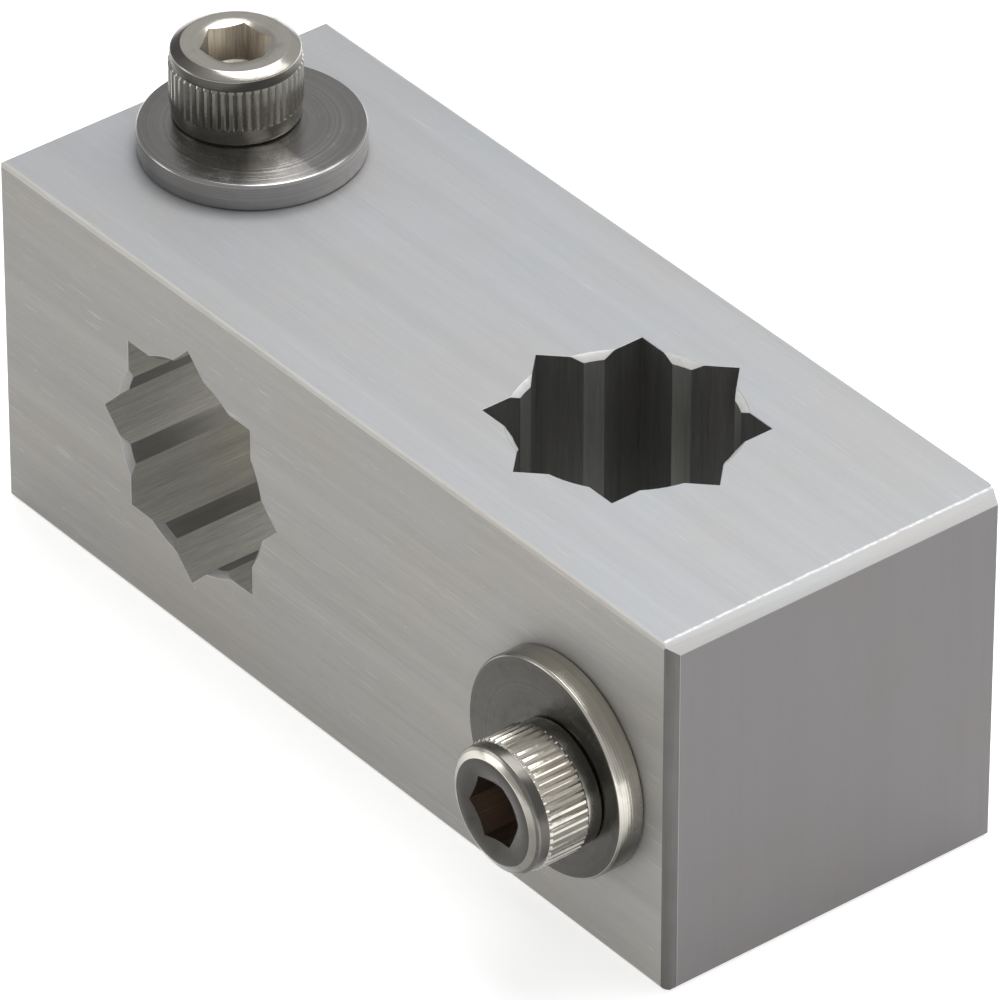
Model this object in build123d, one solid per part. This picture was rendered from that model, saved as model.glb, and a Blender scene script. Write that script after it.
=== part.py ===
from build123d import *
import os
from math import cos, pi, sin, sqrt

# Sensor bracket: one solid block that holds a bar front to back and another bar upright.
# Each bar has a clamp beside it: a socket screw on a thick eccentric washer draws a cotter.
# Frame: origin at the middle of the block's base, +X along its length, +Y to the back, +Z up.
# All sizes are in millimetres.

os.makedirs("parts", exist_ok=True)

# Block
block_length = 65.2
block_depth = 25.4
block_height = 25.0
long_edge_radius = 0.3

# Chamfers of its ends, each as (along the block's length, across it)
left_end_chamfer = (0.3, 0.3)
right_top_chamfer = (0.8, 0.58)
right_base_chamfer = (0.3, 0.3)
right_front_chamfer = (0.65, 0.65)
right_back_chamfer = (1.7, 0.65)

# Star bores: two squares at 45 degrees over a round pilot, with a conical mouth at each face
star_flats = 12.2
pilot_diameter = 13.8
mouth_diameter = 14.6
across_bore_from_left = 19.1
upright_bore_from_right = 19.7

# Cross bores that carry the cotters: how far from the star bore's axis, and off the face's middle
cross_bore_diameter = 11.0
cross_bore_end_room = 0.5
top_clamp_from_star = 10.57
top_clamp_towards_back = 0.4
front_clamp_from_star = 10.3
front_clamp_upwards = -0.45

# Cotters
cotter_length = 16.0
cotter_play = 0.05
cotter_chamfer = 0.5
notch_clearance = 0.05
thread_clearance = 0.02

# Eccentric washers
washer_diameter = 14.3
washer_thickness = 1.85
washer_chamfer = 0.16
washer_hole_diameter = 5.6
screw_eccentricity = 1.55

# Screws
screw_diameter = 5.0
screw_length = 20.0
screw_tip_chamfer = 0.6
neck_radius = 0.2
head_diameter = 8.35
head_height = 5.1
head_plain_diameter = 8.1
foot_chamfer = 0.15
foot_band = 1.1
shoulder_band = 0.72
head_bevel_run = 0.65
head_bevel_drop = 0.36
knurl_ridges = 48
knurl_depth = 0.16
hex_flats = 4.0
hex_depth = 2.6
hex_mouth_diameter = 5.12
hex_mouth_depth = 0.22
hex_turn = 9.0

# How far cutting tools run past the faces that they cut
overrun = 1.0

across_bore_x = -block_length / 2 + across_bore_from_left
upright_bore_x = block_length / 2 - upright_bore_from_right
middle_height = block_height / 2


# Block

def cut_corner_outline(length, width, left_cut, near_cut, far_cut):
    """A rectangle with cut corners: both at its -X end alike, near (-Y) and far (+Y) at +X."""
    x, y = length / 2, width / 2
    corners = [
        (-x, -y + left_cut[1]), (-x + left_cut[0], -y), (x - near_cut[0], -y), (x, -y + near_cut[1]),
        (x, y - far_cut[1]), (x - far_cut[0], y), (-x + left_cut[0], y), (-x, y - left_cut[1]),
    ]
    return make_face(Polyline(*corners, close=True))


def plain_block():
    section = Plane.YZ * RectangleRounded(block_depth, block_height, long_edge_radius)
    plan = cut_corner_outline(
        block_length, block_depth, left_end_chamfer, right_front_chamfer, right_back_chamfer)
    side = Plane.XZ * cut_corner_outline(
        block_length, block_height, left_end_chamfer, right_base_chamfer, right_top_chamfer)
    bar = extrude(section, block_length / 2, both=True)
    bar &= extrude(plan, block_height, both=True)
    bar &= extrude(side, block_depth, both=True)
    return Pos(0, 0, middle_height) * bar


def star_prism(flats, pilot, length):
    """The broached hole: two squares turned 45 degrees, and the pilot bore between them."""
    square = Box(flats, flats, length)
    return square + Rot(0, 0, 45) * square + Cylinder(pilot / 2, length)


def star_bore_tool(thickness):
    """The star hole with its two conical mouths, along Z and centred."""
    mouth_depth = (mouth_diameter - pilot_diameter) / 2
    mouth = Cone(pilot_diameter / 2, mouth_diameter / 2 + overrun, mouth_depth + overrun)
    mouth_middle = thickness / 2 - mouth_depth + (mouth_depth + overrun) / 2
    tool = star_prism(star_flats, pilot_diameter, thickness + 2 * overrun)
    tool += Pos(0, 0, mouth_middle) * mouth
    tool += Pos(0, 0, -mouth_middle) * Rot(180, 0, 0) * mouth
    return tool


def cross_bore_tool(axis_depth):
    """The blind bore under a washer, from the seat down past the star bore's axis."""
    depth = axis_depth + cotter_length / 2 + cross_bore_end_room
    return Pos(0, 0, (overrun - depth) / 2) * Cylinder(cross_bore_diameter / 2, depth + overrun)


def bracket_block():
    across_bore = Pos(across_bore_x, 0, middle_height) * Rot(90, 0, 0) * star_bore_tool(block_depth)
    upright_bore = Pos(upright_bore_x, 0, middle_height) * star_bore_tool(block_height)
    block = plain_block() - across_bore - upright_bore
    block -= top_seat * cross_bore_tool(top_axis_depth)
    block -= front_seat * cross_bore_tool(front_axis_depth)
    return block


# Clamps, each drawn on its seat: origin on the cross bore's axis, +X to the star bore, +Z out

def clamp_cotter(axis_depth, from_star):
    """The threaded cotter, its flank notched with the star bore's own outline."""
    body = Cylinder(cross_bore_diameter / 2 - cotter_play, cotter_length)
    body = chamfer(body.edges().filter_by(GeomType.CIRCLE), cotter_chamfer)
    thread = Cylinder(screw_diameter / 2 + thread_clearance, cotter_length + 2 * overrun)
    body -= Pos(-screw_eccentricity, 0, 0) * thread
    notch = star_prism(
        star_flats + 2 * notch_clearance,
        pilot_diameter + 2 * notch_clearance,
        cross_bore_diameter + 2 * overrun)
    body -= Pos(from_star, 0, 0) * Rot(90, 0, 0) * notch
    return Pos(0, 0, -axis_depth) * body


def eccentric_washer():
    disc = Cylinder(washer_diameter / 2, washer_thickness)
    disc = chamfer(disc.edges().filter_by(GeomType.CIRCLE), washer_chamfer)
    hole = Cylinder(washer_hole_diameter / 2, washer_thickness + 2 * overrun)
    disc -= Pos(-screw_eccentricity, 0, 0) * hole
    return Pos(0, 0, washer_thickness / 2) * disc


def screw_core():
    """The turned form of the screw, its head standing on z = 0."""
    shank, plain, top = screw_diameter / 2, head_plain_diameter / 2, head_height
    bevel_foot = top - head_bevel_drop
    outline = Polyline(
        (0, -screw_length), (shank - screw_tip_chamfer, -screw_length),
        (shank, -screw_length + screw_tip_chamfer), (shank, -neck_radius),
        (shank + neck_radius, 0), (plain - foot_chamfer, 0), (plain, foot_chamfer),
        (plain, bevel_foot), (plain - head_bevel_run, top), (0, top), close=True)
    return revolve(Plane.XZ * make_face(outline), Axis.Z)


def knurled_band():
    """Straight knurling: pointed ridges from the foot band up to the shoulder."""
    crest, root = head_diameter / 2, head_diameter / 2 - knurl_depth
    step = pi / knurl_ridges
    radii = [crest if k % 2 == 0 else root for k in range(2 * knurl_ridges)]
    corners = [(r * cos(k * step), r * sin(k * step)) for k, r in enumerate(radii)]
    height = head_height - head_bevel_drop - shoulder_band - foot_band
    ridges = extrude(make_face(Polyline(*corners, close=True)), height)
    # The ridges run out at both ends on a cone, as a rolled knurl does
    run_out = chamfer(
        Cylinder(crest, height, align=(Align.CENTER, Align.CENTER, Align.MIN)).edges()
        .filter_by(GeomType.CIRCLE), knurl_depth)
    return Pos(0, 0, foot_band) * (ridges & run_out)


def hex_socket():
    """The hexagon recess with its countersunk mouth and drilled bottom."""
    corner_radius = hex_flats / sqrt(3)
    drill_drop = hex_flats / 2 / sqrt(3)
    hexagon = Rot(0, 0, hex_turn) * RegularPolygon(corner_radius, 6)
    recess = Pos(0, 0, head_height - hex_depth) * extrude(hexagon, hex_depth + overrun)
    recess += Pos(0, 0, head_height - hex_depth - drill_drop / 2) * Cone(
        0, hex_flats / 2, drill_drop)
    # The cone that cuts the mouth runs on past the top face at its own slope
    slope = (hex_mouth_diameter - hex_flats) / 2 / hex_mouth_depth
    recess += Pos(0, 0, head_height) * Cone(
        hex_flats / 2, hex_flats / 2 + 2 * hex_mouth_depth * slope, 2 * hex_mouth_depth)
    return recess


def clamp_screw():
    screw = screw_core() + knurled_band() - hex_socket()
    return Pos(-screw_eccentricity, 0, washer_thickness) * screw


# Seats of the two clamps
top_axis_depth = block_height / 2
front_axis_depth = block_depth / 2
top_seat = Plane(
    origin=(across_bore_x - top_clamp_from_star, top_clamp_towards_back, block_height),
    x_dir=(1, 0, 0), z_dir=(0, 0, 1))
front_seat = Plane(
    origin=(upright_bore_x + front_clamp_from_star, -block_depth / 2,
            middle_height + front_clamp_upwards),
    x_dir=(-1, 0, 0), z_dir=(0, -1, 0))

nodes = {
    "bracket_block": bracket_block(),
    "top_washer": top_seat * eccentric_washer(),
    "top_screw": top_seat * clamp_screw(),
    "top_cotter": top_seat * clamp_cotter(top_axis_depth, top_clamp_from_star),
    "front_washer": front_seat * eccentric_washer(),
    "front_screw": front_seat * clamp_screw(),
    "front_cotter": front_seat * clamp_cotter(front_axis_depth, front_clamp_from_star),
}

for name, shape in nodes.items():
    export_step(shape, f"parts/{name}.step")
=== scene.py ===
import math
from collections import namedtuple

import bmesh
import bpy
from mathutils import Matrix, Vector


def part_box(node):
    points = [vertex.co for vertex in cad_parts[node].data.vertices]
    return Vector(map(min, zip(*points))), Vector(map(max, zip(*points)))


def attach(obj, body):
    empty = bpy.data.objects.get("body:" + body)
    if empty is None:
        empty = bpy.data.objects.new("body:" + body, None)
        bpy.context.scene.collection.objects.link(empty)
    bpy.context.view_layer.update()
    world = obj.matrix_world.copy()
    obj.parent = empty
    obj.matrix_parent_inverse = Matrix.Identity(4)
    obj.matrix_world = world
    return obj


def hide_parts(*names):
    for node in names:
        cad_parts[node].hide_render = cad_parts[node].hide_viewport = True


# Sensor bracket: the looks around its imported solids. Everything lies in the frame of the block:
# origin at the middle of its base, +X along its length, +Y to the back, +Z up, in metres.
# The clamps are drawn in millimetres on their own seats, and are then set in that frame.

MM = 0.001

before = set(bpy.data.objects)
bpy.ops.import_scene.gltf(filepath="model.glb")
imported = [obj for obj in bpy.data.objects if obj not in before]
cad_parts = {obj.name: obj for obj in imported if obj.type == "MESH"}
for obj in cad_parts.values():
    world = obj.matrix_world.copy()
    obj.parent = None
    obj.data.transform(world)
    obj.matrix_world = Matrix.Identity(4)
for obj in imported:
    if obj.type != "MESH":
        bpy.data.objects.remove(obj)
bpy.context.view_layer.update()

# Camera: the place and aim that were solved from the photograph's own edges
CAMERA_PLACE = Vector((0.42629149, -0.33897502, 0.39834506))
CAMERA_AIM = Vector((-0.63791134, 0.5082292, -0.57859502))
CAMERA_LENS = 396.44
SENSOR_WIDTH = 36.0
NEAREST_SEEN = 0.05
FARTHEST_SEEN = 10.0

# Washers, in millimetres
WASHER_RADIUS = 7.15
WASHER_THICKNESS = 1.85
WASHER_CHAMFER = 0.16
WASHER_EDGE_BREAK = 0.045
WASHER_HOLE_RADIUS = 2.8
SCREW_ECCENTRICITY = 1.55

# Screws' heads, in millimetres
HEAD_HEIGHT = 5.1
HEAD_TOP = WASHER_THICKNESS + HEAD_HEIGHT
HEAD_EDGE_BREAK = 0.07
PLAIN_RADIUS = 4.05
CREST_RADIUS = 4.175
FOOT_CHAMFER = 0.15
FOOT_BAND = 1.1
SHOULDER_BAND = 0.72
BEVEL_RUN = 0.65
BEVEL_DROP = 0.36
KNURL_FOOT = WASHER_THICKNESS + FOOT_BAND
KNURL_TOP = HEAD_TOP - BEVEL_DROP - SHOULDER_BAND
KNURL_RUN_OUT = 0.16
GROOVE_DEPTH = 0.2
GROOVE_NARROWNESS = 1.5
GROOVE_ROUNDNESS = 1.5
ON_CREST = 0.001
RIDGES = 48
STEPS_PER_RIDGE = 6
HEX_FLATS = 4.0
HEX_CORNER_RADIUS = HEX_FLATS / math.sqrt(3)
HEX_DEPTH = 2.6
HEX_DRILL_DROP = HEX_FLATS / 2 / math.sqrt(3)
DRILL_LAP = 0.01
HEX_TURN = math.radians(39.0)
HEX_MOUTH_RADIUS = 2.56
HEX_MOUTH_DEPTH = 0.22

# Screws' shanks, in millimetres
SHANK_LENGTH = 20.0
NECK_LENGTH = 0.9
NECK_SLOPE = 0.3
NECK_FILLET = 0.2
TIP_CHAMFER = 0.4
THREAD_RADIUS = 2.5
THREAD_ROOT = 2.04
THREAD_PITCH = 0.8
THREAD_STEPS = 24
THREAD_FOOT_SHARE = 0.42
THREAD_CREST = THREAD_RADIUS - 0.04
THREAD_CREST_HALF = 0.06
THREAD_SINK = 0.15
THREAD_RUN_OUT = 0.6

# How far tools and films run past the faces that they meet, in millimetres
OVERRUN = 1.0

# Edges and faces, in degrees and millimetres
ROUNDED_TURN = 25.0
ROUNDED_BLOCK_TURN = 33.0
SHARP_TURN = 30.0
SHARP_BLOCK_TURN = 40.0
LEVEL_TURN = 1.0
SAME_POINT = 0.0005
BAND_MARGIN = 0.1
RECESS_MARGIN = 0.05

# Steps round a full turn
WASHER_STEPS = 192
HOLE_STEPS = 96
DRILL_STEPS = 48
HEX_MOUTH_STEPS = 144

# Block, in metres
ACROSS_BORE = Vector((-0.0135, 0, 0.0125))
UPRIGHT_BORE = Vector((0.0129, 0, 0.0125))
STAR_REACH = 8.75 * MM
CROSS_BORE_REACH = 5.55 * MM
BLOCK_EDGE_BREAK = 0.03 * MM
MOUTH_RADIUS = 7.3 * MM
MOUTH_BREAK_REACH = 0.07 * MM
MOUTH_RUN_IN = 0.06 * MM
CHAMFER_REACH = 1.8 * MM
SAME_BLOCK_POINT = 0.006 * MM
ON_FACE = 0.01 * MM

# How far a face of the block looks along an axis: 0 across it, 1 straight along it.
# A plain face looks straight along one, a land at its bore's axis, an end chamfer to the right,
# and the rounding of a long edge both along Y and along Z.
STRAIGHT = 0.99
SLOPING = 0.3
STEEP = 0.95
TO_AXIS = 0.96
TO_RIGHT = 0.2
ROUNDING = 0.15

# Colours and roughness of the aluminium
# Painted light and shade: faces of the one aluminium that show lighter get lighter colours, and
# faces that show darker get darker ones
TOP_ALUMINIUM = (0.468, 0.473, 0.486)
SHADED_FRONT_ALUMINIUM = (0.375, 0.364, 0.346)
SHADED_END_ALUMINIUM = (0.25, 0.238, 0.241)
LIT_ACROSS_ALUMINIUM = (0.78, 0.77, 0.735)
SHADED_UPRIGHT_ALUMINIUM = (0.3, 0.296, 0.29)
SHADED_ACROSS_LAND_ALUMINIUM = (0.36, 0.352, 0.336)
LIT_UPRIGHT_LAND_ALUMINIUM = (0.56, 0.565, 0.55)
LIT_EDGE_ALUMINIUM = (0.6, 0.585, 0.55)
LIT_CHAMFER_ALUMINIUM = (0.68, 0.68, 0.68)
SHADED_ACROSS_MOUTH_ALUMINIUM = (0.3, 0.3, 0.29)
LIT_UPRIGHT_MOUTH_ALUMINIUM = (0.9, 0.9, 0.89)
# Painted shade on the upright end chamfer, darker on its front half
SHADED_CORNER_DARK = (0.125, 0.121, 0.115)
SHADED_CORNER_PALE = (0.156, 0.152, 0.146)
CORNER_MIDDLE_FROM_END = 0.33
CORNER_FADE = 0.2
CORNER_ROUGHNESS = 0.45
BRUSHED_METAL = 0.5
BRUSHED_ROUGHNESS = 0.55
BORE_METAL = 0.8
BORE_ROUGHNESS = 0.3

# Marks on brushed metal, each as (length, width) in millimetres
BANDS = (90.0, 1.6)
STREAKS = (14.0, 0.3)
LINES = (2.6, 0.075)
SCRATCHES = (3.4, 0.1)
GRAIN = (0.8, 0.05)
FLECKS = (0.5, 0.16)
SCRATCHES_ABOVE = (0.78, 0.84)
FLECKS_ABOVE = (0.86, 0.89)
STREAK_DEPTH = 0.003
LINE_DEPTH = 0.004

# Grains of other marks along X, Y and Z, in millimetres
CLOUDS = (9.0, 9.0, 9.0)
FILE_STREAKS = (0.12, 0.12, 5.0)
FILE_CLOUDS = (1.5, 1.5, 3.0)
RINGS = (0.09, 0.09, 1.0)
WIDE_RINGS = (0.5, 0.5, 1.0)
STAINS = (1.1, 1.1, 1.1)
PUNCH_STREAKS = (0.12, 0.12, 2.5)
PUNCH_DEPTH = 0.012
# Grains of the painted highlight line's waves and beads
HIGHLIGHT_WAVES = (1.2, 1.0, 1.0)
HIGHLIGHT_BEADS = (0.5, 1.0, 1.0)

# A painted highlight along the right top chamfer, in millimetres
HIGHLIGHT_FROM_END = 0.95
HIGHLIGHT_SWAY = 0.22
HIGHLIGHT_CORE = 0.06
HIGHLIGHT_REACH = 0.15
HIGHLIGHT_STRENGTH = 0.85

# Colours and roughness of the steel
STAINLESS = (0.42, 0.408, 0.398)
WARM_STAINLESS = (0.43, 0.412, 0.37)
STEEL_ROUGHNESS = 0.18
SOCKET_ROUGHNESS = 0.35
COTTER_ROUGHNESS = 0.3

# Heights and radii that part the turned faces, in millimetres
FADE = 0.02
BEVEL_SHADE_DROP = 0.06
EVERYWHERE = 9.0
FACE_REACH = PLAIN_RADIUS - BEVEL_RUN
WALL_REACH = PLAIN_RADIUS - 0.05
RIM_REACH = WASHER_RADIUS - 0.1

# Stage, in metres
FLOOR_SIZE = 3.0
FLOOR_DROP = 0.02 * MM
FLOOR_COLOUR = (0.85, 0.85, 0.85)
FLOOR_LIFT = 0.6
WORLD_STRENGTH = 0.45
WHITE = (1.0, 1.0, 1.0)
COOL_WHITE = (0.97, 0.985, 1.0)
WARM_WHITE = (1.0, 0.99, 0.97)


# Materials

# Painted shade on the heights from low to high, out to a radius; below zero it is painted light
PaintedShade = namedtuple("PaintedShade", "low high reach darkness")

# Painted light and shade on the ring from inner to outer: dark to light as the cosine to its angle
# goes low to high
PaintedSide = namedtuple("PaintedSide", "degrees low high dark light inner outer")


class Value:
    """A socket that adds a Math node wherever Python adds, subtracts, multiplies or divides."""

    def __init__(self, nodes, socket):
        self.nodes, self.socket = nodes, socket

    def math(self, operation, *others, clamp=False):
        return self.nodes.node(
            "Math", {"operation": operation, "use_clamp": clamp}, dict(enumerate((self, *others))))

    def __add__(self, other):
        return self.math("ADD", other)

    def __mul__(self, other):
        return self.math("MULTIPLY", other)

    def __sub__(self, other):
        return self.math("SUBTRACT", other)

    def __truediv__(self, other):
        return self.math("DIVIDE", other)

    def __rsub__(self, other):
        return (self * -1.0) + other

    __radd__ = __add__
    __rmul__ = __mul__

    def power(self, other):
        return self.math("POWER", other)

    def ramp(self, low, high):
        """0 below low, 1 above high, and an even slope between them."""
        return (self - low).math("MULTIPLY", 1.0 / (high - low), clamp=True)


class Nodes:
    """A node tree, and the one way that its nodes are made."""

    def __init__(self, tree):
        self.tree = tree
        self.tree.nodes.clear()

    def node(self, kind, settings, inputs, output=0):
        made = self.tree.nodes.new("ShaderNode" + kind)
        for name, value in settings.items():
            setattr(made, name, value)
        for name, value in inputs.items():
            socket = made.inputs[name]
            if isinstance(value, Value):
                self.tree.links.new(value.socket, socket)
            else:
                socket.default_value = (*value, 1.0) if socket.type == "RGBA" else value
        return Value(self, made.outputs[output]) if len(made.outputs) else None


class Finish(Nodes):
    """The nodes of one material."""

    def __init__(self, name):
        self.material = bpy.data.materials.new(name)
        self.material.use_nodes = True
        super().__init__(self.material.node_tree)

    def object_place(self):
        """Object coordinates in millimetres."""
        place = self.node("TexCoord", {}, {}, "Object")
        return self.node("VectorMath", {"operation": "SCALE"}, {0: place, "Scale": 1.0 / MM})

    def own_place(self):
        """The place on a clamp's own seat, in millimetres, which the mesh carries."""
        return self.node("Attribute", {"attribute_name": "own_place"}, {}, "Vector")

    def parts(self, vector):
        split = self.node("SeparateXYZ", {}, {0: vector})
        outputs = split.socket.node.outputs
        return [Value(self, outputs[axis]) for axis in "XYZ"]

    def vector(self, x, y, z):
        return self.node("CombineXYZ", {}, {"X": x, "Y": y, "Z": z})

    def noise(self, place, sizes, detail, seed):
        """Noise whose grains have these sizes in millimetres along X, Y and Z."""
        scaled = self.node("VectorMath", {"operation": "DIVIDE"}, {0: place, 1: sizes})
        moved = self.node("VectorMath", {"operation": "ADD"}, {0: scaled, 1: (seed, -seed, seed)})
        return self.node("TexNoise", {}, {"Vector": moved, "Scale": 1.0, "Detail": detail})

    def tinted(self, colour, brightness):
        return self.node("VectorMath", {"operation": "SCALE"}, {0: colour, "Scale": brightness})

    def blend(self, factor, first, second):
        return self.node("Mix", {"data_type": "RGBA"}, {0: factor, 6: first, 7: second}, 2)

    def bump(self, height, depth, under=None):
        """Relief of this depth in millimetres, over the relief that is already there."""
        below = {} if under is None else {"Normal": under}
        return self.node(
            "Bump", {}, {"Height": height, "Strength": 1.0, "Distance": depth * MM, **below})

    def metal(self, colour, roughness, normal, metallic=1.0):
        surface = self.node("BsdfPrincipled", {}, {
            "Base Color": colour, "Metallic": metallic, "Roughness": roughness, "Normal": normal})
        self.node("OutputMaterial", {}, {"Surface": surface})
        return self.material


def line_sizes(along, length, width):
    """Grain sizes for lines that run along one axis."""
    return [length if axis == along else width for axis in "XYZ"]


def painted_highlight_line(finish, place, x_of_highlight, seed):
    """A painted highlight: a bright line across the block at this x, wavy and of uneven thickness.
    """
    x, y = finish.parts(place)[:2]
    wave = finish.noise(finish.vector(y, 0.0, 0.0), HIGHLIGHT_WAVES, 2.0, seed)
    thickness = finish.noise(finish.vector(y, 4.0, 0.0), HIGHLIGHT_BEADS, 1.0, seed)
    away = (x - (wave - 0.5) * HIGHLIGHT_SWAY - x_of_highlight).math("ABSOLUTE")
    return (1.0 - away.ramp(HIGHLIGHT_CORE, HIGHLIGHT_REACH)) * thickness.ramp(0.1, 0.6) * HIGHLIGHT_STRENGTH


def brushed_metal(
        name, colour, along, roughness, streak, seed, scratch=0.0, metallic=1.0, painted_light_slope=0.0,
        x_of_highlight=None):
    """Metal brushed along one axis: broad bands, streaks, fine lines, grain, bright scratches and
    flecks. Painted light may brighten it towards +X by the given share per millimetre, and a
    painted highlight line may lie at one x."""
    finish = Finish(name)
    place = finish.object_place()

    def marks(sizes, detail, shift):
        return finish.noise(place, line_sizes(along, *sizes), detail, seed + shift)

    bands = marks(BANDS, 1.0, 0.0)
    streaks = marks(STREAKS, 2.0, 3.1)
    lines = marks(LINES, 2.0, 7.7)
    scratches = marks(SCRATCHES, 0.0, 11.3).ramp(*SCRATCHES_ABOVE)
    grain = marks(GRAIN, 1.0, 15.9)
    flecks = marks(FLECKS, 0.0, 19.0).ramp(*FLECKS_ABOVE)
    clouds = finish.noise(place, CLOUDS, 2.0, seed + 5.0)
    brightness = (
        1.0 + (bands - 0.5) * streak + (clouds - 0.5) * 0.06
        + (streaks - 0.5) * (0.7 * streak) + (lines - 0.5) * (1.1 * streak)
        + (grain - 0.5) * (0.5 * streak) + scratches * scratch + flecks * scratch)
    # Painted light: brighter towards +X
    if painted_light_slope:
        brightness = brightness * (1.0 + finish.parts(place)[0] * painted_light_slope)
    # A painted highlight line
    if x_of_highlight:
        brightness = brightness + painted_highlight_line(finish, place, x_of_highlight, seed)
    rough = roughness + (lines - 0.5) * 0.1 - scratches * (0.3 * scratch)
    relief = finish.bump(lines, LINE_DEPTH, finish.bump(streaks, STREAK_DEPTH))
    red, green, blue = colour
    warm, cool = (red * 1.012, green, blue * 0.98), (red * 0.985, green, blue * 1.012)
    hue = finish.blend(clouds.ramp(0.35, 0.65), warm, cool)
    return finish.metal(finish.tinted(hue, brightness), rough, relief, metallic)


def shaded_filed_corner(name, dark_colour, pale_colour, middle_x, seed):
    """An end chamfer that runs upright, in painted shade: paler away from the front, with faint
    streaks.
    """
    finish = Finish(name)
    place = finish.object_place()
    x = finish.parts(place)[0]
    streaks = finish.noise(place, FILE_STREAKS, 2.0, seed)
    clouds = finish.noise(place, FILE_CLOUDS, 2.0, seed + 4.0)
    across = (x + (clouds - 0.5) * CORNER_FADE).ramp(
        middle_x - CORNER_FADE, middle_x + CORNER_FADE)
    brightness = 1.0 + (streaks - 0.5) * 0.3 + (clouds - 0.5) * 0.25
    colour = finish.tinted(finish.blend(across, dark_colour, pale_colour), brightness)
    return finish.metal(colour, CORNER_ROUGHNESS, finish.bump(streaks, STREAK_DEPTH))


def turned_steel(name, colour, ring, ring_depth, grime, painted_shades, painted_sides):
    """Stainless steel off the lathe: fine rings about its own axis, faint stains, painted shade on
    some bands, painted light where that shade is below zero, and painted light and shade that make
    one side lighter than the other."""
    finish = Finish(name)
    place = finish.own_place()
    x, y, z = finish.parts(place)
    radius = (x * x + y * y).power(0.5)
    rings = finish.noise(finish.vector(radius, z, x * 0.02), RINGS, 2.0, 2.0)
    wide_rings = finish.noise(finish.vector(radius, z, y * 0.05), WIDE_RINGS, 1.0, 8.0)
    stains = finish.noise(place, STAINS, 3.0, 4.0).ramp(0.5, 0.75)
    # Painted shade on bands, and painted light where its darkness is below zero
    darkening = 0.0
    for painted_shade in painted_shades:
        band = z.ramp(painted_shade.low - FADE, painted_shade.low) * (1.0 - z.ramp(painted_shade.high, painted_shade.high + FADE))
        darkening = darkening + band * (1.0 - radius.ramp(painted_shade.reach, painted_shade.reach + FADE)) * painted_shade.darkness
    brightness = (
        1.0 + (rings - 0.5) * (0.5 * ring) + (wide_rings - 0.5) * (0.4 * ring) - stains * grime)
    # Painted light and shade: one side of each ring lighter than the other
    for patch in painted_sides:
        angle = math.radians(patch.degrees)
        towards = (x * math.cos(angle) + y * math.sin(angle)) / radius
        lightness = towards.ramp(patch.low, patch.high) * (patch.light - patch.dark) + patch.dark
        within = radius.ramp(patch.inner - FADE, patch.inner) * (
            1.0 - radius.ramp(patch.outer, patch.outer + FADE))
        brightness = brightness * (1.0 + (lightness - 1.0) * within)
    rough = STEEL_ROUGHNESS + (rings - 0.5) * 0.15 + stains * 0.12 + darkening * 0.08
    relief = finish.bump(rings, ring_depth)
    return finish.metal(finish.tinted(colour, brightness * (1.0 - darkening)), rough, relief)


def washer_steel(name, colour, face_shade, painted_sides):
    """A washer's finish, with painted shade on the face that the head stands on."""
    painted_shade = PaintedShade(WASHER_THICKNESS - FADE, HEAD_TOP, EVERYWHERE, face_shade)
    return turned_steel(
        name, colour, ring=1.0, ring_depth=0.008, grime=0.1, painted_shades=[painted_shade], painted_sides=painted_sides)


def screw_steel(name, foot, knurl, shoulder, bevel, face, painted_sides):
    """A screw's finish, with how dark the painted shade is on each band of its head. Below zero it
    is painted light, lighter than the steel."""
    mouth, bevel_foot = HEAD_TOP - HEX_MOUTH_DEPTH, HEAD_TOP - BEVEL_DROP - BEVEL_SHADE_DROP
    painted_shades = [
        PaintedShade(WASHER_THICKNESS, KNURL_FOOT, EVERYWHERE, foot),
        PaintedShade(KNURL_FOOT, KNURL_TOP, EVERYWHERE, knurl),
        PaintedShade(bevel_foot, mouth - FADE, EVERYWHERE, bevel),
        PaintedShade(KNURL_TOP, bevel_foot - FADE, EVERYWHERE, shoulder),
        PaintedShade(mouth, HEAD_TOP + OVERRUN, FACE_REACH, face)]
    return turned_steel(
        name, WARM_STAINLESS, ring=0.2, ring_depth=0.003, grime=0.18, painted_shades=painted_shades, painted_sides=painted_sides)


def wall_painted_side(degrees, low, high, dark, light):
    """Painted light and shade round the side of a screw's head."""
    return PaintedSide(degrees, low, high, dark, light, WALL_REACH, EVERYWHERE)


def bevel_painted_side(degrees, low, high, dark, light):
    """Painted light and shade round the bevel of a screw's head."""
    return PaintedSide(degrees, low, high, dark, light, FACE_REACH + FADE, WALL_REACH - FADE)


def rim_painted_side(degrees, low, high, dark, light):
    """Painted light and shade round a washer's rim."""
    return PaintedSide(degrees, low, high, dark, light, RIM_REACH, EVERYWHERE)


def socket_steel(name, colour, shaded_bottom_colour):
    """The hexagon recess: punched walls with upright streaks, and painted shade that darkens them
    towards the bottom.
    """
    finish = Finish(name)
    place = finish.own_place()
    depth = finish.parts(place)[2].ramp(HEAD_TOP, HEAD_TOP - HEX_DEPTH)
    streaks = finish.noise(place, PUNCH_STREAKS, 2.0, 6.0)
    painted_shade = finish.blend(depth, colour, shaded_bottom_colour)
    brightness = 1.0 + (streaks - 0.5) * 0.9
    relief = finish.bump(streaks, PUNCH_DEPTH)
    return finish.metal(finish.tinted(painted_shade, brightness), SOCKET_ROUGHNESS + depth * 0.1, relief)


# Mesh helpers

def linked(name, data):
    """A new object in the scene, at the origin."""
    made = bpy.data.objects.new(name, data)
    bpy.context.scene.collection.objects.link(made)
    return made


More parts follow.
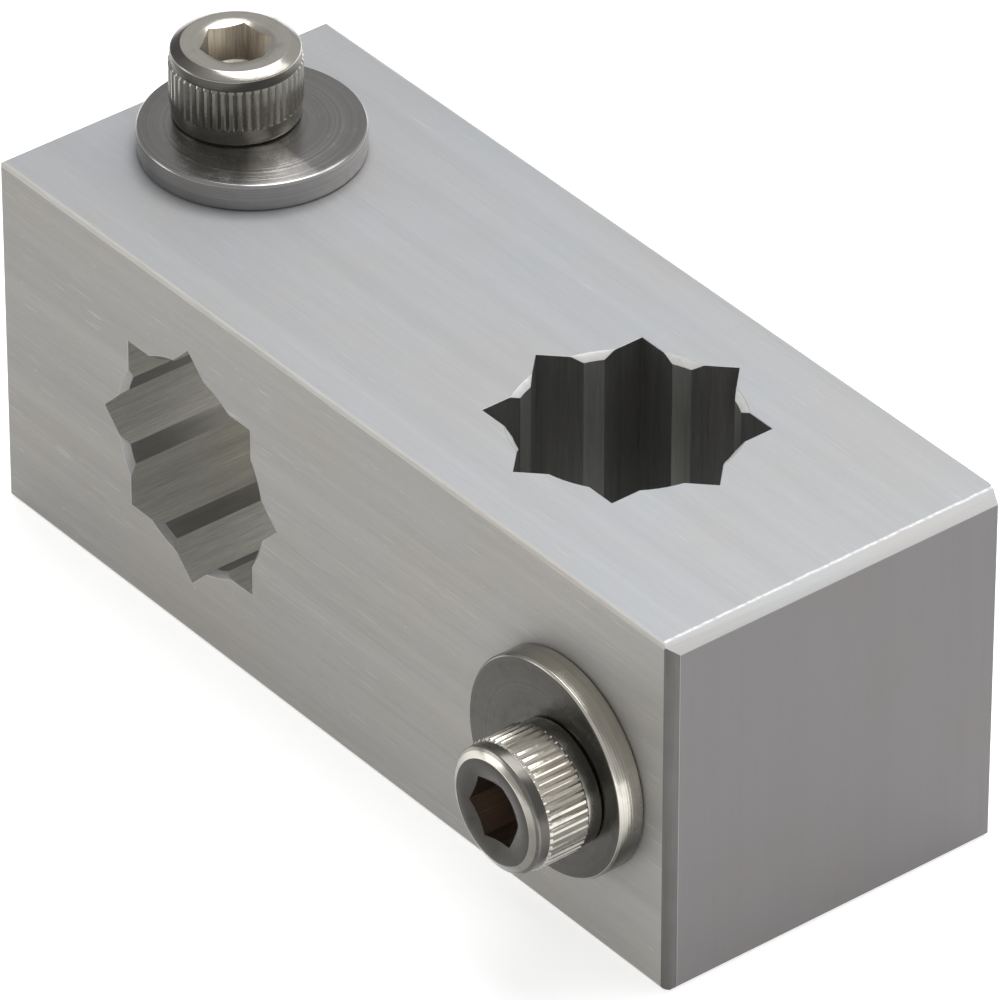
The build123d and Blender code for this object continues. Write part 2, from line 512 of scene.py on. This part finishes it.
def put(bm, name, matrix, body, node, materials):
    """Makes a finished piece: its mesh is set in the shared frame, and carries its own place."""
    mesh = bpy.data.meshes.new(name)
    bmesh.ops.recalc_face_normals(bm, faces=bm.faces)
    bm.to_mesh(mesh)
    bm.free()
    places = mesh.attributes.new("own_place", "FLOAT_VECTOR", "POINT")
    for entry, vertex in zip(places.data, mesh.vertices):
        entry.vector = vertex.co
    mesh.transform(matrix)
    for material in materials:
        mesh.materials.append(material)
    mesh.shade_smooth()
    mesh.set_sharp_from_angle(angle=math.radians(SHARP_TURN))
    piece = linked(name, mesh)
    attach(piece, body)
    if node:
        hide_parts(node)


def spun(profile, steps):
    """Turns a profile of (radius, height) points about Z."""
    bm = bmesh.new()
    points = [bm.verts.new((radius, 0.0, height)) for radius, height in profile]
    edges = [bm.edges.new(pair) for pair in zip(points, points[1:])]
    bmesh.ops.spin(
        bm, geom=points + edges, cent=(0, 0, 0), axis=(0, 0, 1), dvec=(0, 0, 0),
        angle=math.tau, steps=steps, use_merge=True)
    bmesh.ops.remove_doubles(bm, verts=bm.verts, dist=SAME_POINT)
    bmesh.ops.recalc_face_normals(bm, faces=bm.faces)
    return bm


def every_edge(edge):
    return True


def break_edges(bm, width, degrees=ROUNDED_TURN, chosen=every_edge):
    """Rounds the chosen edges that turn by more than this."""
    bm.normal_update()
    sharp = [
        edge for edge in bm.edges
        if edge.is_manifold and edge.calc_face_angle(0.0) > math.radians(degrees) and chosen(edge)]
    bmesh.ops.bevel(
        bm, geom=sharp, offset=width, offset_type="OFFSET", affect="EDGES", segments=2,
        profile=0.5, material=-1, clamp_overlap=False)
    bm.normal_update()


def cut(bm, *cutters):
    """Takes the cutters' forms out of a mesh, and gives back the new mesh."""
    holder = linked("stock", bpy.data.meshes.new("stock"))
    bm.to_mesh(holder.data)
    bm.free()
    tools = []
    for cutter in cutters:
        tool = linked("cutter", bpy.data.meshes.new("cutter"))
        bmesh.ops.recalc_face_normals(cutter, faces=cutter.faces)
        cutter.to_mesh(tool.data)
        cutter.free()
        modifier = holder.modifiers.new("cut", "BOOLEAN")
        modifier.operation, modifier.solver, modifier.object = "DIFFERENCE", "EXACT", tool
        tools.append(tool)
    shape = bpy.context.evaluated_depsgraph_get()
    made = bmesh.new()
    made.from_mesh(holder.evaluated_get(shape).to_mesh())
    for spare in (holder, *tools):
        bpy.data.objects.remove(spare)
    bmesh.ops.remove_doubles(made, verts=made.verts, dist=SAME_POINT)
    return made


def cone(low_radius, high_radius, low, high, segments, centre=(0.0, 0.0), turn=0.0):
    """A cone, cylinder or prism between two heights."""
    bm = bmesh.new()
    bmesh.ops.create_cone(
        bm, cap_ends=True, segments=segments, radius1=low_radius, radius2=high_radius,
        depth=high - low)
    place = Matrix.Translation((*centre, (low + high) / 2)) @ Matrix.Rotation(turn, 4, "Z")
    bmesh.ops.transform(bm, matrix=place, verts=bm.verts)
    return bm


# Block

def bore_finish(name, colour, along, streak, seed):
    """Metal that a broach left streaked along the bore."""
    return brushed_metal(
        name, colour, along, BORE_ROUGHNESS, streak, seed, metallic=BORE_METAL)


def block_finishes(right_end):
    """The block's finishes; their order is that of the material slots on its mesh."""
    return {
        # Painted light: the top brightens towards +X, and a painted highlight line runs by its
        # right chamfer
        "top": brushed_metal(
            "brushed_top", TOP_ALUMINIUM, "X", BRUSHED_ROUGHNESS, streak=0.14, seed=1.0,
            scratch=0.12, metallic=BRUSHED_METAL, painted_light_slope=0.0018,
            x_of_highlight=right_end / MM - HIGHLIGHT_FROM_END),
        # Painted shade: the end is darker than the top
        "end": brushed_metal(
            "shaded_milled_end", SHADED_END_ALUMINIUM, "Z", 0.5, streak=0.06, seed=21.0,
            metallic=BRUSHED_METAL),
        # Painted light: the across bore's walls are lighter than the top
        "across_wall": bore_finish(
            "lit_broached_across", LIT_ACROSS_ALUMINIUM, "Y", streak=0.5, seed=33.0),
        # Painted shade: the upright bore's walls are darker than the top
        "upright_wall": bore_finish(
            "shaded_broached_upright", SHADED_UPRIGHT_ALUMINIUM, "Z", streak=0.5, seed=45.0),
        # Painted shade: the front is darker than the top, and painted light brightens it towards
        # +X
        "front": brushed_metal(
            "shaded_brushed_front", SHADED_FRONT_ALUMINIUM, "X", BRUSHED_ROUGHNESS, streak=0.23, seed=9.0,
            scratch=0.3, metallic=BRUSHED_METAL, painted_light_slope=0.003),
        # Painted shade: the upright chamfer is near black, paler away from the front
        "upright_chamfer": shaded_filed_corner(
            "shaded_filed_corner", SHADED_CORNER_DARK, SHADED_CORNER_PALE, right_end / MM - CORNER_MIDDLE_FROM_END,
            seed=5.0),
        # Painted light: the right top chamfer is lighter than the top
        "level_chamfer": brushed_metal(
            "lit_cut_chamfer", LIT_CHAMFER_ALUMINIUM, "Y", 0.75, streak=0.1, seed=17.0, metallic=0.4),
        # Painted light: the upright bore's mouth is near white
        "upright_mouth": brushed_metal(
            "lit_turned_mouth", LIT_UPRIGHT_MOUTH_ALUMINIUM, "X", 0.4, streak=0.2, seed=27.0,
            metallic=0.5),
        # Painted shade: the across bore's lands are darker than the top
        "across_land": bore_finish(
            "shaded_land_across", SHADED_ACROSS_LAND_ALUMINIUM, "Y", streak=0.3, seed=51.0),
        # Painted light: the upright bore's lands are lighter than the top
        "upright_land": bore_finish(
            "lit_land_upright", LIT_UPRIGHT_LAND_ALUMINIUM, "Z", streak=0.4, seed=57.0),
        # Painted light: the rounding of the long edges is lighter than the top
        "long_edge": brushed_metal(
            "lit_soft_edge", LIT_EDGE_ALUMINIUM, "X", 0.65, streak=0.3, seed=63.0, metallic=0.25),
        # Painted shade: the across bore's mouth is darker than the top
        "across_mouth": brushed_metal(
            "shaded_cut_mouth", SHADED_ACROSS_MOUTH_ALUMINIUM, "X", 0.35, streak=0.2, seed=69.0)}


# The finishes whose faces are plane, but for the round cross bores that share them
PLANE_FINISHES = ("top", "end", "across_wall", "upright_wall", "front")


def middle(node):
    low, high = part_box(node)
    return (low + high) / 2


def at_mouth(from_axis):
    return abs(from_axis - MOUTH_RADIUS) < MOUTH_BREAK_REACH


def looks_along_radius(face, outwards):
    return abs(face.normal.dot(outwards.normalized())) > TO_AXIS


class BlockFaces:
    """Tells how a face of the block was worked, from where it lies and where it looks."""

    def __init__(self):
        self.low, self.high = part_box("bracket_block")
        self.top_clamp, self.front_clamp = middle("top_cotter"), middle("front_cotter")

    def outer_finish(self, face, centre):
        """The finish of the six outer faces and of the right end's chamfers, or nothing."""
        x, y, z = (abs(part) for part in face.normal)
        at_top_or_base = centre.z > self.high.z - ON_FACE or centre.z < self.low.z + ON_FACE
        at_front_or_back = centre.y > self.high.y - ON_FACE or centre.y < self.low.y + ON_FACE
        at_right = centre.x > self.high.x - CHAMFER_REACH and face.normal.x > TO_RIGHT
        if z > STRAIGHT and at_top_or_base:
            return "top"
        if y > STRAIGHT and at_front_or_back:
            return "front"
        if x > STRAIGHT and abs(centre.x) > self.high.x - ON_FACE:
            return "end"
        if at_right and z > SLOPING:
            return "level_chamfer"
        if at_right and y > SLOPING:
            return "upright_chamfer"
        return None

    def across_finish(self, face, centre, from_axis):
        """The finish of a face in the bore that runs front to back."""
        slope = abs(face.normal.y)
        run_in = abs(centre.y) < self.high.y - MOUTH_RUN_IN
        if SLOPING < slope < STEEP and (run_in or at_mouth(from_axis)):
            return "across_mouth"
        outwards = Vector((centre.x - ACROSS_BORE.x, 0, centre.z - ACROSS_BORE.z))
        on_land = looks_along_radius(face, outwards) or slope > SLOPING
        return "across_land" if on_land else "across_wall"

    def upright_finish(self, face, centre, from_axis):
        """The finish of a face in the upright bore."""
        half_height = self.high.z - UPRIGHT_BORE.z
        run_in = abs(centre.z - UPRIGHT_BORE.z) < half_height - MOUTH_RUN_IN
        if SLOPING < abs(face.normal.z) < STEEP and (run_in or at_mouth(from_axis)):
            return "upright_mouth"
        outwards = Vector((centre.x - UPRIGHT_BORE.x, centre.y - UPRIGHT_BORE.y, 0))
        return "upright_land" if looks_along_radius(face, outwards) else "upright_wall"

    def finish(self, face):
        """The name of a face's finish, and whether it is shaded smooth."""
        centre = face.calc_center_median()
        from_across = math.hypot(centre.x - ACROSS_BORE.x, centre.z - ACROSS_BORE.z)
        from_upright = math.hypot(centre.x - UPRIGHT_BORE.x, centre.y - UPRIGHT_BORE.y)
        from_top = math.hypot(centre.x - self.top_clamp.x, centre.y - self.top_clamp.y)
        from_front = math.hypot(centre.x - self.front_clamp.x, centre.z - self.front_clamp.z)
        outer = self.outer_finish(face, centre)
        if outer:
            name = outer
        elif from_across < STAR_REACH:
            name = self.across_finish(face, centre, from_across)
        elif from_upright < STAR_REACH:
            name = self.upright_finish(face, centre, from_upright)
        elif from_top < CROSS_BORE_REACH:
            name = "upright_wall"
        elif from_front < CROSS_BORE_REACH:
            name = "across_wall"
        elif abs(face.normal.y) > ROUNDING and abs(face.normal.z) > ROUNDING:
            name = "long_edge"
        else:
            name = "top"
        in_cross_bore = (
            from_top < CROSS_BORE_REACH and from_across > STAR_REACH
            or from_front < CROSS_BORE_REACH and from_upright > STAR_REACH)
        return name, in_cross_bore or name not in PLANE_FINISHES


def dress_block():
    """The block with its edges broken, and a finish for each way that it was worked, in colours
    that hold painted light and shade.
    """
    bm = bmesh.new()
    bm.from_mesh(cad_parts["bracket_block"].data)
    bmesh.ops.remove_doubles(bm, verts=bm.verts, dist=SAME_BLOCK_POINT)
    bmesh.ops.dissolve_limit(
        bm, angle_limit=math.radians(LEVEL_TURN), verts=bm.verts, edges=bm.edges,
        use_dissolve_boundaries=False)
    break_edges(bm, BLOCK_EDGE_BREAK, ROUNDED_BLOCK_TURN)
    faces = BlockFaces()
    finishes = block_finishes(faces.high.x)
    slots = list(finishes)
    smooth = []
    for face in bm.faces:
        name, is_smooth = faces.finish(face)
        face.material_index = slots.index(name)
        smooth.append(is_smooth)
    mesh = bpy.data.meshes.new("block")
    bm.to_mesh(mesh)
    bm.free()
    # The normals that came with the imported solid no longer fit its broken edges
    mesh.attributes.remove(mesh.attributes["custom_normal"])
    for material in finishes.values():
        mesh.materials.append(material)
    mesh.set_sharp_from_angle(angle=math.radians(SHARP_BLOCK_TURN))
    # Plane faces are shaded flat, so that their broken edges leave no mark across them
    mesh.polygons.foreach_set("use_smooth", smooth)
    piece = linked("block", mesh)
    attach(piece, "block")
    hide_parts("bracket_block")


# Clamps

def washer_shape():
    half = WASHER_RADIUS - WASHER_CHAMFER
    disc = spun([
        (0, 0), (half, 0), (WASHER_RADIUS, WASHER_CHAMFER),
        (WASHER_RADIUS, WASHER_THICKNESS - WASHER_CHAMFER), (half, WASHER_THICKNESS),
        (0, WASHER_THICKNESS)], WASHER_STEPS)
    break_edges(disc, WASHER_EDGE_BREAK)
    hole = cone(
        WASHER_HOLE_RADIUS, WASHER_HOLE_RADIUS, -OVERRUN, WASHER_THICKNESS + OVERRUN, HOLE_STEPS,
        (-SCREW_ECCENTRICITY, 0.0))
    return cut(disc, hole)


def knurl_radius(step):
    """The head's radius at this step round it: narrow grooves between broad crests."""
    share = (step % STEPS_PER_RIDGE) / STEPS_PER_RIDGE
    from_groove = min(share, 1.0 - share) * 2.0
    depth = GROOVE_DEPTH * max(0.0, 1.0 - from_groove * GROOVE_NARROWNESS) ** GROOVE_ROUNDNESS
    return CREST_RADIUS - depth


def screw_core():
    """Head, neck and shank of the screw as one turned form, its head standing on the washer."""
    foot, tip = WASHER_THICKNESS, WASHER_THICKNESS - SHANK_LENGTH
    steps = RIDGES * STEPS_PER_RIDGE
    bm = spun([
        (0, tip), (THREAD_ROOT - TIP_CHAMFER, tip), (THREAD_ROOT, tip + TIP_CHAMFER),
        (THREAD_ROOT, foot - NECK_LENGTH), (THREAD_RADIUS, foot - NECK_LENGTH + NECK_SLOPE),
        (THREAD_RADIUS, foot - NECK_FILLET), (THREAD_RADIUS + NECK_FILLET, foot),
        (PLAIN_RADIUS - FOOT_CHAMFER, foot), (PLAIN_RADIUS, foot + FOOT_CHAMFER),
        (PLAIN_RADIUS, KNURL_FOOT), (CREST_RADIUS, KNURL_FOOT + KNURL_RUN_OUT),
        (CREST_RADIUS, KNURL_TOP - KNURL_RUN_OUT), (PLAIN_RADIUS, KNURL_TOP),
        (PLAIN_RADIUS, HEAD_TOP - BEVEL_DROP), (PLAIN_RADIUS - BEVEL_RUN, HEAD_TOP),
        (0, HEAD_TOP)], steps)

    def on_plain_band(edge):
        height = min(vertex.co.z for vertex in edge.verts)
        above, below = KNURL_TOP + BAND_MARGIN, KNURL_FOOT - BAND_MARGIN
        return height > above or foot + BAND_MARGIN / 2 < height < below

    break_edges(bm, HEAD_EDGE_BREAK, chosen=on_plain_band)
    for vertex in bm.verts:
        if abs(math.hypot(vertex.co.x, vertex.co.y) - CREST_RADIUS) < ON_CREST:
            turn = math.atan2(vertex.co.y, vertex.co.x) % math.tau
            radius = knurl_radius(round(turn / math.tau * steps))
            vertex.co.x, vertex.co.y = radius * math.cos(turn), radius * math.sin(turn)
    return bm


def screw_shape():
    """The screw with its hexagon recess; the recess has the second material."""
    bottom = HEAD_TOP - HEX_DEPTH
    hexagon = cone(
        HEX_CORNER_RADIUS, HEX_CORNER_RADIUS, bottom, HEAD_TOP + OVERRUN, 6, turn=HEX_TURN)
    drill = cone(0.0, HEX_FLATS / 2, bottom - HEX_DRILL_DROP, bottom + DRILL_LAP, DRILL_STEPS)
    mouth = cone(
        HEX_FLATS / 2, 2 * HEX_MOUTH_RADIUS - HEX_FLATS / 2, HEAD_TOP - HEX_MOUTH_DEPTH,
        HEAD_TOP + HEX_MOUTH_DEPTH, HEX_MOUTH_STEPS)
    bm = cut(screw_core(), hexagon, drill, mouth)
    for face in bm.faces:
        centre = face.calc_center_median()
        inside = math.hypot(centre.x, centre.y) < HEX_CORNER_RADIUS - DRILL_LAP
        if inside and HEAD_TOP - RECESS_MARGIN > centre.z > bottom - 2 * OVERRUN:
            face.material_index = 1
    return bm


def thread_shape():
    """One ridge wound down the core."""
    foot = WASHER_THICKNESS - NECK_LENGTH
    turns = int((SHANK_LENGTH - NECK_LENGTH - THREAD_RUN_OUT) / THREAD_PITCH)
    root, half = THREAD_ROOT - THREAD_SINK, THREAD_PITCH * THREAD_FOOT_SHARE
    bm = bmesh.new()
    corners = [
        bm.verts.new((radius, 0.0, foot + height)) for radius, height in (
            (root, half), (THREAD_CREST, THREAD_CREST_HALF),
            (THREAD_CREST, -THREAD_CREST_HALF), (root, -half))]
    section = bm.faces.new(corners)
    bmesh.ops.spin(
        bm, geom=[section], cent=(0, 0, 0), axis=(0, 0, 1),
        dvec=(0, 0, -THREAD_PITCH / THREAD_STEPS), angle=math.tau * turns,
        steps=THREAD_STEPS * turns)
    bmesh.ops.recalc_face_normals(bm, faces=bm.faces)
    return bm


def top_steels():
    """Washer, screw, socket and cotter finishes of the clamp on the top."""
    # Painted shade on the washer's face, painted light and shade round its rim, and a painted
    # highlight that fans across its face in front of the head
    washer = washer_steel("top_washer_steel", STAINLESS, 0.42, [
        rim_painted_side(51, -1.0, 1.0, dark=0.72, light=1.3),
        PaintedSide(-22, 0.93, 1.0, dark=1.0, light=2.6, inner=WASHER_HOLE_RADIUS,
             outer=RIM_REACH - FADE)])
    # Painted shade on the head's foot, knurl and shoulder, painted light on its top face, and
    # painted light and shade round its side and bevel
    screw = screw_steel(
        "top_screw_steel", foot=0.3, knurl=0.12, shoulder=0.78, bevel=0.0, face=-0.15, painted_sides=[
            wall_painted_side(51, -1.0, 1.0, dark=0.6, light=1.55),
            bevel_painted_side(51, -1.0, -0.3, dark=0.25, light=1.1)])
    # Painted light: the recess's walls are near white, with painted shade towards the bottom
    socket = socket_steel("top_socket_steel", (1.0, 0.96, 0.9), (0.5, 0.46, 0.4))
    cotter = brushed_metal(
        "top_cotter_steel", STAINLESS, "Y", COTTER_ROUGHNESS, streak=0.2, seed=60.0)
    return washer, screw, socket, cotter


def front_steels():
    """Washer, screw, socket and cotter finishes of the clamp on the front."""
    # Painted shade on the washer's face, and painted light and shade round its rim
    washer = washer_steel("front_washer_steel", WARM_STAINLESS, 0.84, [
        rim_painted_side(230, 0.35, 0.9, dark=0.3, light=1.8)])
    # Painted light on the head's knurl, painted shade on its shoulder, bevel and top face, and
    # painted light and shade round its side and bevel
    screw = screw_steel(
        "front_screw_steel", foot=0.0, knurl=-0.6, shoulder=0.7, bevel=0.5, face=0.88, painted_sides=[
            wall_painted_side(242, 0.1, 1.0, dark=0.5, light=1.32),
            bevel_painted_side(275, 0.1, 0.95, dark=0.45, light=1.4)])
    # Painted shade: the recess is dark throughout
    socket = socket_steel("front_socket_steel", (0.26, 0.215, 0.18), (0.26, 0.21, 0.17))
    cotter = brushed_metal(
        "front_cotter_steel", STAINLESS, "Z", COTTER_ROUGHNESS, streak=0.2, seed=70.0)
    return washer, screw, socket, cotter


def seat_matrix(origin, x_axis, z_axis):
    """A clamp's seat: from its own millimetres to the shared frame."""
    x, z = Vector(x_axis), Vector(z_axis)
    turn = Matrix((x, z.cross(x), z)).transposed().to_4x4()
    return Matrix.Translation(origin) @ turn @ Matrix.Scale(MM, 4)


def dress_clamp(side, seat, steels):
    """The washer, screw and thread of one clamp, on its seat, and its cotter's finish."""
    washer_finish, screw_finish, socket_finish, cotter_finish = steels
    on_screw = seat @ Matrix.Translation((-SCREW_ECCENTRICITY, 0, 0))
    put(washer_shape(), side + "_eccentric_washer", seat, "block", side + "_washer",
        [washer_finish])
    put(screw_shape(), side + "_socket_screw", on_screw, side + "_screw_body", side + "_screw",
        [screw_finish, socket_finish])
    put(thread_shape(), side + "_screw_thread", on_screw, side + "_screw_body", None,
        [screw_finish])
    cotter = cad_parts[side + "_cotter"]
    cotter.data.materials.clear()
    cotter.data.materials.append(cotter_finish)


# Stage

def softbox(name, place, size, power, colour):
    """A round area lamp that faces the bracket."""
    lamp = bpy.data.lights.new(name, "AREA")
    lamp.shape, lamp.size, lamp.energy, lamp.color = "DISK", size, power, colour
    box = linked(name, lamp)
    box.location = place
    box.rotation_euler = (-Vector(place)).to_track_quat("-Z", "Y").to_euler()
    box.visible_camera = False


def paper_floor():
    """The pale floor: it glows a little only where it is seen, in metal or through glass, so it
    shows white and puts no more light on the bracket."""
    finish = Finish("pale_floor")
    path = finish.node("LightPath", {}, {}).socket.node.outputs
    camera_ray, glossy_ray, transmission_ray = (Value(finish, path[name]) for name in (
        "Is Camera Ray", "Is Glossy Ray", "Is Transmission Ray"))
    seen = camera_ray + glossy_ray + transmission_ray
    paper = finish.node("BsdfDiffuse", {}, {"Color": FLOOR_COLOUR})
    glow = finish.node("Emission", {}, {"Color": WHITE, "Strength": FLOOR_LIFT})
    lifted = finish.node("AddShader", {}, {0: paper, 1: glow})
    surface = finish.node("MixShader", {}, {0: seen, 1: paper, 2: lifted})
    finish.node("OutputMaterial", {}, {"Surface": surface})
    return finish.material


def make_stage():
    bm = bmesh.new()
    bmesh.ops.create_grid(bm, x_segments=1, y_segments=1, size=FLOOR_SIZE)
    mesh = bpy.data.meshes.new("floor")
    bm.to_mesh(mesh)
    bm.free()
    floor = linked("floor", mesh)
    floor.location.z = -FLOOR_DROP
    floor.data.materials.append(paper_floor())

    studio = bpy.data.worlds.new("studio")
    studio.use_nodes = True
    air = Nodes(studio.node_tree)
    background = air.node("Background", {}, {"Color": WHITE, "Strength": WORLD_STRENGTH})
    air.node("OutputWorld", {}, {"Surface": background})
    bpy.context.scene.world = studio

    softbox("back_softbox", (-0.2, 0.32, 0.34), size=0.6, power=0.14, colour=COOL_WHITE)
    softbox("ceiling_softbox", (-0.054, 0.136, 0.478), size=0.42, power=1.33, colour=WHITE)
    softbox("left_softbox", (-0.45, -0.54, 0.16), size=0.35, power=0.577, colour=WARM_WHITE)
    softbox("right_softbox", (0.14, 0.34, 0.47), size=0.3, power=0.35, colour=WHITE)


def make_camera():
    camera = linked("camera", bpy.data.cameras.new("camera"))
    camera.data.lens, camera.data.sensor_width = CAMERA_LENS, SENSOR_WIDTH
    camera.data.clip_start, camera.data.clip_end = NEAREST_SEEN, FARTHEST_SEEN
    camera.location = CAMERA_PLACE
    camera.rotation_euler = CAMERA_AIM.to_track_quat("-Z", "Y").to_euler()
    bpy.context.scene.camera = camera


make_camera()
make_stage()
dress_block()
top_low, top_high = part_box("top_washer")
front_low, front_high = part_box("front_washer")
top_seat = seat_matrix(
    ((top_low.x + top_high.x) / 2, (top_low.y + top_high.y) / 2, top_low.z), (1, 0, 0), (0, 0, 1))
front_seat = seat_matrix(
    ((front_low.x + front_high.x) / 2, front_high.y, (front_low.z + front_high.z) / 2),
    (-1, 0, 0), (0, -1, 0))
dress_clamp("top", top_seat, top_steels())
dress_clamp("front", front_seat, front_steels())

bpy.context.scene.view_settings.view_transform = "Standard"
